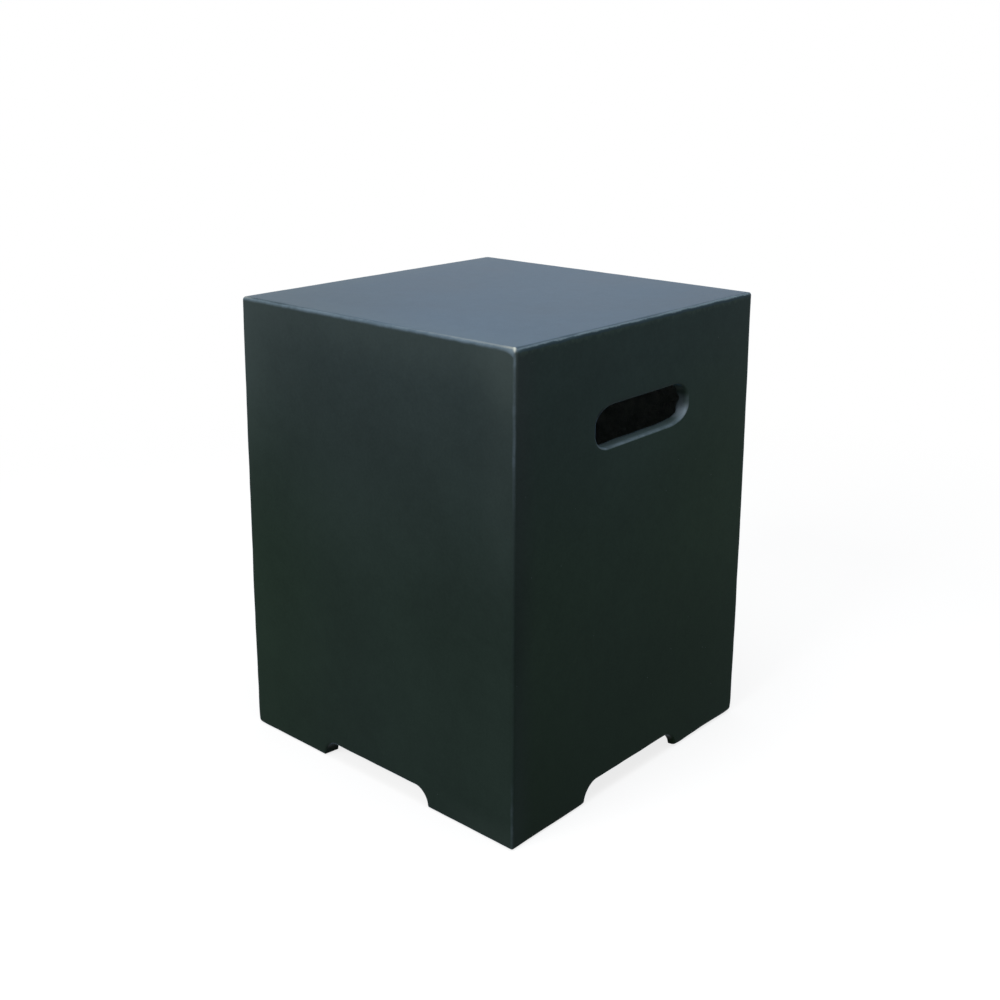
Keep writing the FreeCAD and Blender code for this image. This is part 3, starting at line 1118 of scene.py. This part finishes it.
def shell_material():
    """Raw grey fibre-filled mortar, pressed by hand, with strands and dust in it."""
    tree = Tree("raw_mortar")
    lumps = tree.noise(*LUMPS)
    sand = tree.noise(*SAND)
    strands = tree.span(tree.cells(STRAND_CELLS, "DISTANCE_TO_EDGE")["Distance"], *STRAND_WIDTH)
    strands = tree.times(strands, tree.span(tree.noise(*STRAND_PATCHES), *STRAND_SHARE))
    colour = tree.mix(tree.span(lumps, *LUMP_DUST), SHELL_BODY, SHELL_DUST)
    colour = tree.mix(tree.times(strands, STRAND_TINT), colour, SHELL_STRAND)
    colour = tree.mix(tree.span(sand, *SAND_SHARE), colour, SHELL_SAND)
    rough = tree.bump(lumps, LUMP_DEPTH)
    grit = tree.bump(sand, SAND_DEPTH, rough)
    raised = tree.bump(strands, STRAND_DEPTH, grit)
    return tree.finish(Base_Color=colour, Roughness=tree.span(sand, *SAND_ROUGHNESS), Normal=raised)


DUST = (5.0, 4.0, 0.6)
DUST_SHARE = (0.45, 0.75, 0.0, 0.5)
DUST_ROUGHNESS = (0.3, 0.7, 0.6, 0.8)
SCUFF_SIZE = 0.6
SCUFF_DEPTH = 0.03


def rubber_material():
    """Soft black rubber, slightly dusty and scuffed."""
    tree = Tree("black_rubber")
    dust = tree.noise(*DUST)
    colour = tree.mix(tree.span(dust, *DUST_SHARE), RUBBER, RUBBER_DUST)
    scuffs = tree.bump(tree.noise(SCUFF_SIZE), SCUFF_DEPTH)
    return tree.finish(Base_Color=colour, Roughness=tree.span(dust, *DUST_ROUGHNESS), Normal=scuffs)


WEAVE_PITCH = 5.0
THREAD_EDGE = (0.32, 0.42)
THREAD_DEPTH = 0.3
FUZZ = (0.8, 3.0, 0.6)
FUZZ_SHARE = (0.4, 0.8, 0.0, 0.4)
FUZZ_ROUGHNESS = (0.3, 0.7, 0.4, 0.6)


def mesh_material():
    """Open glass-fibre weave bedded in mortar."""
    tree = Tree("glass_weave")
    x, y, z = tree.axes()
    threads = 0.0
    for value in (tree.math("ADD", x, y), z):
        part = tree.math("FRACT", tree.math("DIVIDE", value, WEAVE_PITCH))
        wave = tree.math("ABSOLUTE", tree.math("SUBTRACT", part, 0.5))
        threads = tree.math("MAXIMUM", threads, tree.span(wave, *THREAD_EDGE))
    fuzz = tree.noise(*FUZZ)
    colour = tree.mix(threads, SHELL_DUST, GLASS_MESH)
    colour = tree.mix(tree.span(fuzz, *FUZZ_SHARE), colour, SHELL_BODY)
    raised = tree.bump(threads, THREAD_DEPTH)
    return tree.finish(Base_Color=colour, Roughness=tree.span(fuzz, *FUZZ_ROUGHNESS), Normal=raised)


def make_camera():
    """The photograph's view."""
    data = bpy.data.cameras.new("camera")
    data.lens = CAMERA_LENS
    data.sensor_width = CAMERA_SENSOR
    data.clip_start, data.clip_end = CAMERA_CLIP
    camera = bpy.data.objects.new("camera", data)
    turn = Matrix.Rotation(math.radians(CAMERA_AZIMUTH), 4, "Z")
    tip = Matrix.Rotation(math.radians(90 - CAMERA_DIP), 4, "X")
    roll = Matrix.Rotation(math.radians(CAMERA_ROLL), 4, "Z")
    camera.matrix_world = Matrix.Translation(CAMERA_PLACE) @ turn @ tip @ roll
    bpy.context.scene.collection.objects.link(camera)
    bpy.context.scene.camera = camera


def aim(lamp, place, target):
    """Puts a lamp at a place, pointing at a target."""
    place, target = Vector(place), Vector(target)
    turn = (target - place).to_track_quat("-Z", "Y").to_matrix().to_4x4()
    lamp.matrix_world = Matrix.Translation(place) @ turn


def soft_lamp(name, place, target, size, power, colour):
    """Large square lamp that the camera and reflections don't see."""
    data = bpy.data.lights.new(name, "AREA")
    data.shape = "SQUARE"
    data.size = size
    data.energy = power
    data.color = colour
    lamp = bpy.data.objects.new(name, data)
    bpy.context.scene.collection.objects.link(lamp)
    lamp.visible_camera = False
    lamp.visible_glossy = False
    aim(lamp, place, target)


def seen_directly(nodes, links):
    """1 for camera, glossy and transmission rays."""
    path = nodes.new("ShaderNodeLightPath")
    first = nodes.new("ShaderNodeMath")
    second = nodes.new("ShaderNodeMath")
    for node in (first, second):
        node.operation = "MAXIMUM"
    links.new(path.outputs["Is Camera Ray"], first.inputs[0])
    links.new(path.outputs["Is Glossy Ray"], first.inputs[1])
    links.new(first.outputs[0], second.inputs[0])
    links.new(path.outputs["Is Transmission Ray"], second.inputs[1])
    return second.outputs[0]


def make_world():
    """White where it is seen or reflected, dimmer where it lights."""
    world = bpy.data.worlds.new("studio")
    world.use_nodes = True
    nodes, links = world.node_tree.nodes, world.node_tree.links
    background = nodes["Background"]
    strength = nodes.new("ShaderNodeMapRange")
    links.new(seen_directly(nodes, links), strength.inputs["Value"])
    strength.inputs["To Min"].default_value = WORLD_LIGHT
    strength.inputs["To Max"].default_value = 1.0
    background.inputs["Color"].default_value = (1, 1, 1, 1)
    links.new(strength.outputs["Result"], background.inputs["Strength"])
    bpy.context.scene.world = world


def join_shaders(tree, kind, *inputs):
    """Output of an add or mix shader node, given its inputs in order."""
    node = tree.nodes.new(kind)
    for value, socket in zip(inputs, node.inputs):
        tree.links.new(value, socket)
    return node.outputs[0]


def floor_material():
    """Keeps the shadow near the object, is plain white further out and clear from below."""
    tree = Tree("pale_floor")
    nodes, links = tree.nodes, tree.links
    nodes.remove(tree.surface)
    seen = seen_directly(nodes, links)
    length = nodes.new("ShaderNodeVectorMath")
    length.operation = "LENGTH"
    links.new(tree.place, length.inputs[0])
    out = tree.span(length.outputs["Value"], *FLOOR_WHITENS)
    diffuse = nodes.new("ShaderNodeBsdfDiffuse")
    diffuse.inputs["Color"].default_value = (FLOOR_TONE, FLOOR_TONE, FLOOR_TONE, 1)
    glow = nodes.new("ShaderNodeEmission")
    links.new(tree.math("MULTIPLY", seen, FLOOR_GLOW), glow.inputs["Strength"])
    white = nodes.new("ShaderNodeEmission")
    links.new(tree.span(seen, 0.0, 1.0, WORLD_LIGHT, 1.0), white.inputs["Strength"])
    clear = nodes.new("ShaderNodeBsdfTransparent")
    from_below = nodes.new("ShaderNodeNewGeometry").outputs["Backfacing"]
    near = join_shaders(tree, "ShaderNodeAddShader", diffuse.outputs[0], glow.outputs[0])
    blend = join_shaders(tree, "ShaderNodeMixShader", out, near, white.outputs[0])
    top_only = join_shaders(tree, "ShaderNodeMixShader", from_below, blend, clear.outputs[0])
    links.new(top_only, nodes["Material Output"].inputs["Surface"])
    return tree.material


def make_floor():
    """Large square floor, which isn't part of the object."""
    signs = ((-1, -1), (1, -1), (1, 1), (-1, 1))
    corners = [(x * FLOOR_HALF, y * FLOOR_HALF, 0) for x, y in signs]
    mesh = bpy.data.meshes.new("floor")
    mesh.from_pydata(corners, [], [(0, 1, 2, 3)])
    floor = bpy.data.objects.new("floor", mesh)
    bpy.context.scene.collection.objects.link(floor)
    paint(floor, floor_material())


coat, shell = make_casting()
make_pads(rubber_material())
paint(coat, coat_material())
paint(shell, shell_material())
weave = mesh_material()
for name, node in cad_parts.items():
    if name.startswith(HIDDEN_PIECES):
        paint(node, weave)
make_camera()
make_world()
make_floor()
for lamp in LAMPS:
    soft_lamp(*lamp)
bpy.context.scene.view_settings.view_transform = "Standard"
